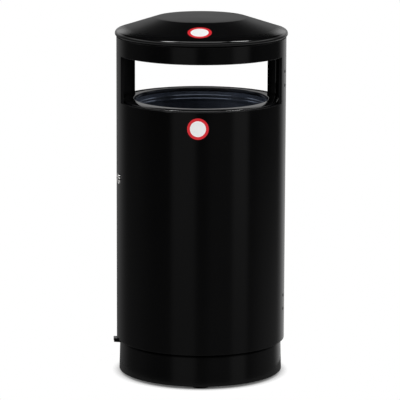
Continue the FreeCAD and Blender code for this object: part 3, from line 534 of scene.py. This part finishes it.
def rain_roof():
    """Domed disc on a cone, with a rounded rim that turns in at its lower edge."""
    rim = roof_high.x
    inner = rim - SHEET
    under_bend = RIM_BEND - 0.75 * SHEET
    under_crease = ROOF_CREASE - 1.05 * SHEET
    bend_round = 6.5 * MM
    edge_round = 5 * MM
    inner_round = 3 * MM
    crease_round = 2 * MM
    steps = 8
    dome = [(ROOF_DISC * i / steps, roof_high.z - ROOF_DOME * (i / steps) ** 2) for i in range(steps)]
    under = [(radius, height - SHEET) for radius, height in reversed(dome)]
    bm = spun([
        *dome, (ROOF_DISC, ROOF_CREASE), (rim, RIM_BEND), (rim, roof_low.z),
        (rim - ROOF_RETURN, roof_low.z), (rim - ROOF_RETURN, roof_low.z + SHEET),
        (inner, roof_low.z + SHEET), (inner, under_bend), (ROOF_DISC, under_crease), *under], closed=False)
    rounded(bm, [(rim, RIM_BEND)], bend_round, 8)
    rounded(bm, [(rim, roof_low.z)], edge_round, 8)
    rounded(bm, [(inner, roof_low.z + SHEET), (inner, under_bend)], inner_round)
    rounded(bm, [(ROOF_DISC, ROOF_CREASE)], crease_round, 3)
    piece("rain_roof", bm, ["roof"], ["roof_coat"], edge=ROOF_EDGE)


def turned_sheet(name, replaced, profile, rounds, **more):
    """Closed turned piece with some of its rings rounded."""
    bm = spun(profile)
    for spot, size in rounds:
        rounded(bm, [spot], size)
    piece(name, bm, replaced, **more)


def plinth():
    foot = plinth_high.x
    top = foot - PLINTH_TAPER
    turned_sheet("plinth_skirt", ["plinth_ring"], [
        (foot - SHEET, plinth_low.z), (foot, plinth_low.z),
        (top, plinth_high.z), (top - SHEET, plinth_high.z)], [],
        finishes=["plinth_coat"], edge=PLINTH_EDGE)


def head():
    rim = head_high.x
    ledge = head_high.z - HEAD_SHEET
    bend = 3 * MM
    turned_sheet("head_angle_ring", ["head_ring"], [
        (rim - HEAD_SHEET, head_low.z), (rim, head_low.z), (rim, head_high.z),
        (rim - HEAD_LEDGE, head_high.z), (rim - HEAD_LEDGE, ledge), (rim - HEAD_SHEET, ledge)],
        [((rim, head_high.z), bend)], edge=HEAD_EDGE)


def lift_out_bin():
    """Tapered wall with a bead pressed in below the mouth, and the raised floor in it."""
    bead_round = 2.9 * MM
    floor_bend = 2 * MM

    def wall(height, inset):
        return bin_high.x - BIN_TAPER * (bin_high.z - height) / (bin_high.z - bin_low.z) - inset
    bead = [(BEAD - BEAD_HALF - BEAD_RAMP, 0), (BEAD - BEAD_HALF, BEAD_DEPTH),
            (BEAD + BEAD_HALF, BEAD_DEPTH), (BEAD + BEAD_HALF + BEAD_RAMP, 0)]
    line = [(bin_low.z, 0), *bead, (bin_high.z, 0)]
    outer = [(wall(height, inset), height) for height, inset in line]
    inner = [(wall(height, inset + BIN_SHEET), height) for height, inset in line]
    bends = [(spot, bead_round) for spot in outer[1:-1] + inner[1:-1]]
    turned_sheet("lift_out_bin", ["inner_bin"], outer + inner[::-1], bends, edge=THIN_EDGE)
    rim = floor_high.x
    under = floor_high.z - BIN_SHEET
    turned_sheet("raised_floor", ["inner_bin_floor"], [
        (BIN_DRAIN, floor_high.z), (rim, floor_high.z), (rim, floor_low.z),
        (rim - BIN_SHEET, floor_low.z), (rim - BIN_SHEET, under), (BIN_DRAIN, under)],
        [((rim, floor_high.z), floor_bend)])


def collar():
    """Collar that hangs inside the bin's mouth, with a top that slopes outwards to a turned-down edge."""
    rim = collar_high.x
    lip = bin_high.x - 2 * BIN_SHEET - COLLAR_PLAY
    top = collar_high.z
    edge = top - COLLAR_SLOPE
    bend = 1.4 * MM
    turned_sheet("bin_rim_collar", ["rim_collar"], [
        (lip, collar_low.z), (lip, top), (rim, edge), (rim, edge - COLLAR_EDGE),
        (rim - BIN_SHEET, edge - COLLAR_EDGE), (rim - BIN_SHEET, edge - BIN_SHEET),
        (lip + BIN_SHEET, top - BIN_SHEET), (lip + BIN_SHEET, collar_low.z)],
        [((lip, top), bend), ((rim, edge), bend)],
        finishes=["collar_coat"], edge=THIN_EDGE)


def foot_pads():
    """Round rubber feet with a chamfered tread."""
    tread = 1.5 * MM
    for side in ("front", "right", "rear", "left"):
        low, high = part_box("foot_pad_" + side)
        radius = (high.x - low.x) / 2
        bm = spun([(0, low.z), (radius - tread, low.z), (radius, low.z + tread), (radius, high.z),
                   (0, high.z)], closed=False, steps=64)
        middle = (low + high) / 2
        bmesh.ops.translate(bm, verts=bm.verts, vec=(middle.x, middle.y, 0))
        piece("rubber_foot_" + side, bm, ["foot_pad_" + side], edge=FOOT_EDGE)


def lock():
    """Round lock with a domed bezel, a key recess and its barrel through the door."""
    bezel = 14.5 * MM
    bezel_round = 3.4 * MM
    recess = 8 * MM
    recess_round = 2.0 * MM
    barrel = 10 * MM
    bore = 6.05 * MM
    seat = BODY + SEAT_GAP
    face = seat + 4 * MM
    floor = face - 3.5 * MM
    end = BODY - 22.4 * MM
    bm = spun([
        (barrel, end), (barrel, seat), (bezel, seat), (bezel, face), (recess, face),
        (recess, floor), (bore, floor), (bore, end)], steps=72)
    rounded(bm, [(bezel, face)], bezel_round, 8)
    rounded(bm, [(recess, face)], recess_round, 5)
    aimed(bm, LOCK_ANGLE, LOCK_HEIGHT)
    piece("lock_bezel", bm, ["lock_housing"], edge=LOCK_EDGE)


def strap_rivets():
    """Domed rivets of the two strap hinges, painted over with the door."""
    head_radius = 4.6 * MM
    head_height = 1.4 * MM
    shank = 2.5 * MM
    flare = 3.6 * MM
    seat = BODY + SEAT_GAP
    tail = BODY - 5.65 * MM
    shoulder = tail + 1.3 * MM
    turns = [math.radians(90 * i / 6) for i in range(6)]
    dome = [(head_radius * math.cos(turn), seat + head_height * math.sin(turn)) for turn in turns]
    profile = [(0, tail), (flare, tail), (flare, shoulder), (shank, shoulder), (shank, seat), *dome,
               (0, seat + head_height)]
    rivets = [aimed(spun(profile, closed=False, steps=40), angle, height + side * STRAP_RIVET_HALF)
              for height in HINGE_HEIGHTS for angle in STRAP_RIVET_ANGLES for side in (-1, 1)]
    piece("strap_rivet_heads", joined(rivets), ["door_hinge_rivets"])


def refined(node):
    """Smooth copy of a plain construction piece with broken edges."""
    bm = bmesh.new()
    bm.from_mesh(nodes[node].data)
    bmesh.ops.remove_doubles(bm, verts=bm.verts, dist=HAIR / 5)
    bmesh.ops.dissolve_limit(bm, angle_limit=FLAT, verts=bm.verts, edges=bm.edges)
    piece(node + "_finished", bm, [node], edge=PLAIN_EDGE, merged=False)


def blank_label(name, radius, place, body):
    """Round blank film with a plain coloured border, laid on a curved face by a placing rule."""
    border = radius * 0.74
    thickness = 0.25 * MM
    bm = spun([(0, 0), (border / 2, 0), (border, 0), (radius, 0)], closed=False, steps=72)
    bmesh.ops.subdivide_edges(bm, edges=bm.edges, cuts=1, use_grid_fill=True)
    for face in bm.faces:
        middle = face.calc_center_median()
        face.material_index = int(math.hypot(middle.x, middle.y) > border)
    raised = bmesh.ops.extrude_face_region(bm, geom=bm.faces[:])["geom"]
    top = [made for made in raised if isinstance(made, bmesh.types.BMVert)]
    bmesh.ops.translate(bm, verts=top, vec=(0, 0, thickness))
    for vert in bm.verts:
        vert.co = place(*vert.co)
    piece(name, bm, [], ["label_white", "label_border"], body=body)


def labels():
    """Blank labels on the door, under the window, and on the front of the roof's cone."""
    gap = 0.06 * MM
    door_angle = math.radians(-2.1)
    door_height = 727 * MM
    door_radius = 29.3 * MM
    roof_angle = math.radians(-1.5)
    roof_reach = 184 * MM
    roof_radius = 33 * MM
    slope = math.atan2(ROOF_CREASE - RIM_BEND, roof_high.x - ROOF_DISC)
    roof_height = RIM_BEND + (roof_high.x - roof_reach) * math.tan(slope)

    def on_door(x, y, lift):
        return at(door_angle + x / BODY, BODY + gap + lift, door_height + y)

    def on_roof(x, y, lift):
        reach = roof_reach - y * math.cos(slope) + (gap + lift) * math.sin(slope)
        height = roof_height + y * math.sin(slope) + (gap + lift) * math.cos(slope)
        return at(roof_angle + x / reach, reach, height)
    blank_label("door_label", door_radius, on_door, "door")
    blank_label("roof_label", roof_radius, on_roof, "housing")


def studio():
    """White room to the camera. Light and gloss find a dimmer one, so that the black coat stays black.

    Angles are in degrees from the camera side, counted to the right. Heights are those of a ray's
    direction, from -1 straight down to 1 straight up."""
    world = bpy.data.worlds.new("studio")
    bpy.context.scene.world = world
    room = Nodes(world, "Generated")
    across, deep, up = (room.along(axis) for axis in "XYZ")
    turn = room.node("ShaderNodeMath", {"operation": "ARCTAN2"}, {0: across, 1: deep * -1.0})

    def beyond(start, stop):
        """Rises from 0 to 1 between two angles."""
        return room.rise(turn, math.radians(start), math.radians(stop))

    def between(start, stop, soft):
        """Strip between two angles, with soft sides."""
        return beyond(start - soft, start + soft) * beyond(stop + soft, stop - soft)

    def level(start, stop):
        """1 below a height, fading to 0 above it."""
        return room.rise(up, stop, start)
    low = level(-0.245, -0.165)
    under_horizon = level(-0.06, 0.02)
    # Pale sides behind, which the edges of the round body mirror, dark straight behind.
    right = beyond(60, 100) * (low * 0.06 + 0.02) + beyond(128, 159) * (0.47 - low * 0.08)
    right = right - beyond(166, 180) * 0.23
    left = (beyond(-60, -100) * 0.035 + beyond(-117, -150) * 0.15) * (1.0 - low * 0.65)
    straight = beyond(169, 175) + beyond(-169, -175)
    sides = (right + left) * under_horizon * (1.0 - straight * 0.9)
    # Pale sky behind, for the roof's disc and the collar.
    behind = beyond(110, 150) + beyond(-110, -150)
    sky = behind * ((1.0 - under_horizon) * level(0.345, 0.445) * 0.25
                    + (1.0 - level(0.13, 0.17)) * level(0.28, 0.36) * 0.2)
    # Soft strips in front, for the upright bands on the door.
    strips = between(-40, -7, 4) * 0.14 + between(10, 44, 6) * 0.045 + between(44, 67, 4) * 0.19
    front = (strips * (1.0 - low * 0.7) + low * 0.05) * level(-0.05, 0.05)
    # Pale wall in front over the horizon, for the inside of the bin, and a dim floor all round.
    window = between(-110, 110, 20) * (1.0 - level(0.04, 0.10)) * level(0.36, 0.46) * 0.9
    floor = level(-0.55, -0.33) * 0.4
    glow = sides + sky + front + window + floor + 0.006
    seen = room.node("ShaderNodeLightPath", out="Is Camera Ray")
    through = room.node("ShaderNodeLightPath", out="Is Transmission Ray")
    white = room.node("ShaderNodeMath", {"operation": "MAXIMUM"}, {0: seen, 1: through})
    light = white + (1.0 - white) * glow
    back = room.tree.nodes["Background"]
    room.put(back.inputs["Strength"], light)
    room.put(back.inputs["Color"], (1, 1, 1, 1))


def ground():
    """Pale floor round the foot, white to the camera but for the shadow where the bin stands."""
    bm = bmesh.new()
    bmesh.ops.create_circle(bm, cap_ends=True, segments=96, radius=300 * MM)
    mesh = bpy.data.meshes.new("ground")
    bm.to_mesh(mesh)
    bm.free()
    plane = bpy.data.objects.new("ground", mesh)
    bpy.context.scene.collection.objects.link(plane)
    paper = new_finish("ground_paper")
    direct, mirrored, through = (
        paper.node("ShaderNodeLightPath", out=name)
        for name in ("Is Camera Ray", "Is Glossy Ray", "Is Transmission Ray"))
    seen = direct + mirrored * 0.05 + through
    nook = paper.node("ShaderNodeAmbientOcclusion", {"samples": 8}, {"Distance": 24 * MM}, out="AO")
    glow = paper.node("ShaderNodeEmission", links={"Color": (1, 1, 1, 1), "Strength": seen * nook * 0.94})
    matt = paper.node("ShaderNodeBsdfDiffuse", links={"Color": (0.14, 0.14, 0.14, 1)})
    both = paper.node("ShaderNodeAddShader", links={0: glow, 1: matt})
    paper.put(paper.tree.nodes["Material Output"].inputs["Surface"], both)
    mesh.materials.append(paper.owner)


def lamp(name, place, target, size, power, mirrored=True):
    """Soft lamp. One that isn't mirrored leaves no white patch on the glossy coat."""
    light = bpy.data.lights.new(name, "AREA")
    light.shape = "RECTANGLE"
    light.size, light.size_y = size
    light.energy = power
    made = bpy.data.objects.new(name, light)
    made.location = place
    made.visible_glossy = mirrored
    made.rotation_euler = (Vector(target) - Vector(place)).to_track_quat("-Z", "Y").to_euler()
    bpy.context.scene.collection.objects.link(made)


def camera():
    """Long lens in front of the bin, a little above it and looking slightly down."""
    lens = bpy.data.cameras.new("camera")
    lens.sensor_width = 36
    lens.lens = 262.8
    lens.clip_end = 100
    tilt = math.radians(90 - 11.151)
    roll = math.radians(-0.2)
    pan = math.radians(0.04)
    made = bpy.data.objects.new("camera", lens)
    made.location = (-0.0022, -8.0, 2.063)
    made.rotation_euler = (tilt, roll, pan)
    bpy.context.scene.collection.objects.link(made)
    bpy.context.scene.camera = made


front_door()
rear_half()
rain_roof()
plinth()
head()
lift_out_bin()
collar()
foot_pads()
lock()
strap_rivets()
labels()
PLAIN = ["base_plate", "foot_screws", "door_rest", "roof_brackets", "roof_bolts", "roof_nuts",
         "upper_hinge_jamb_leaf", "lower_hinge_jamb_leaf", "upper_hinge_pin", "lower_hinge_pin",
         "jamb_rivets", "lock_keeper", "keeper_rivets", "door_bumpers", "upper_hinge_door_leaf",
         "lower_hinge_door_leaf", "lock_nut", "lock_spindle", "lock_cam", "cam_screw",
         "front_handle_ears", "rear_handle_ears", "front_handle", "rear_handle"]
for node in PLAIN:
    refined(node)
studio()
ground()
lamp("front_left", (-1.85, -1.85, 1.85), (0, 0, 1.1), size=(0.5, 2.0), power=39, mirrored=False)
lamp("front_right", (2.25, -1.3, 1.85), (0, 0, 1.1), size=(0.6, 2.0), power=57, mirrored=False)
lamp("high_left", (-1.89, -1.0, 4.1), (0, 0, 0.9), size=(0.5, 1.4), power=26)
lamp("high_right", (2.1, -0.37, 4.1), (0, 0, 0.9), size=(0.5, 1.4), power=26)
lamp("overhead", (0, -0.6, 3.2), (0, 0, 0), size=(1.6, 1.2), power=9)
camera()
bpy.context.scene.view_settings.view_transform = "Standard"
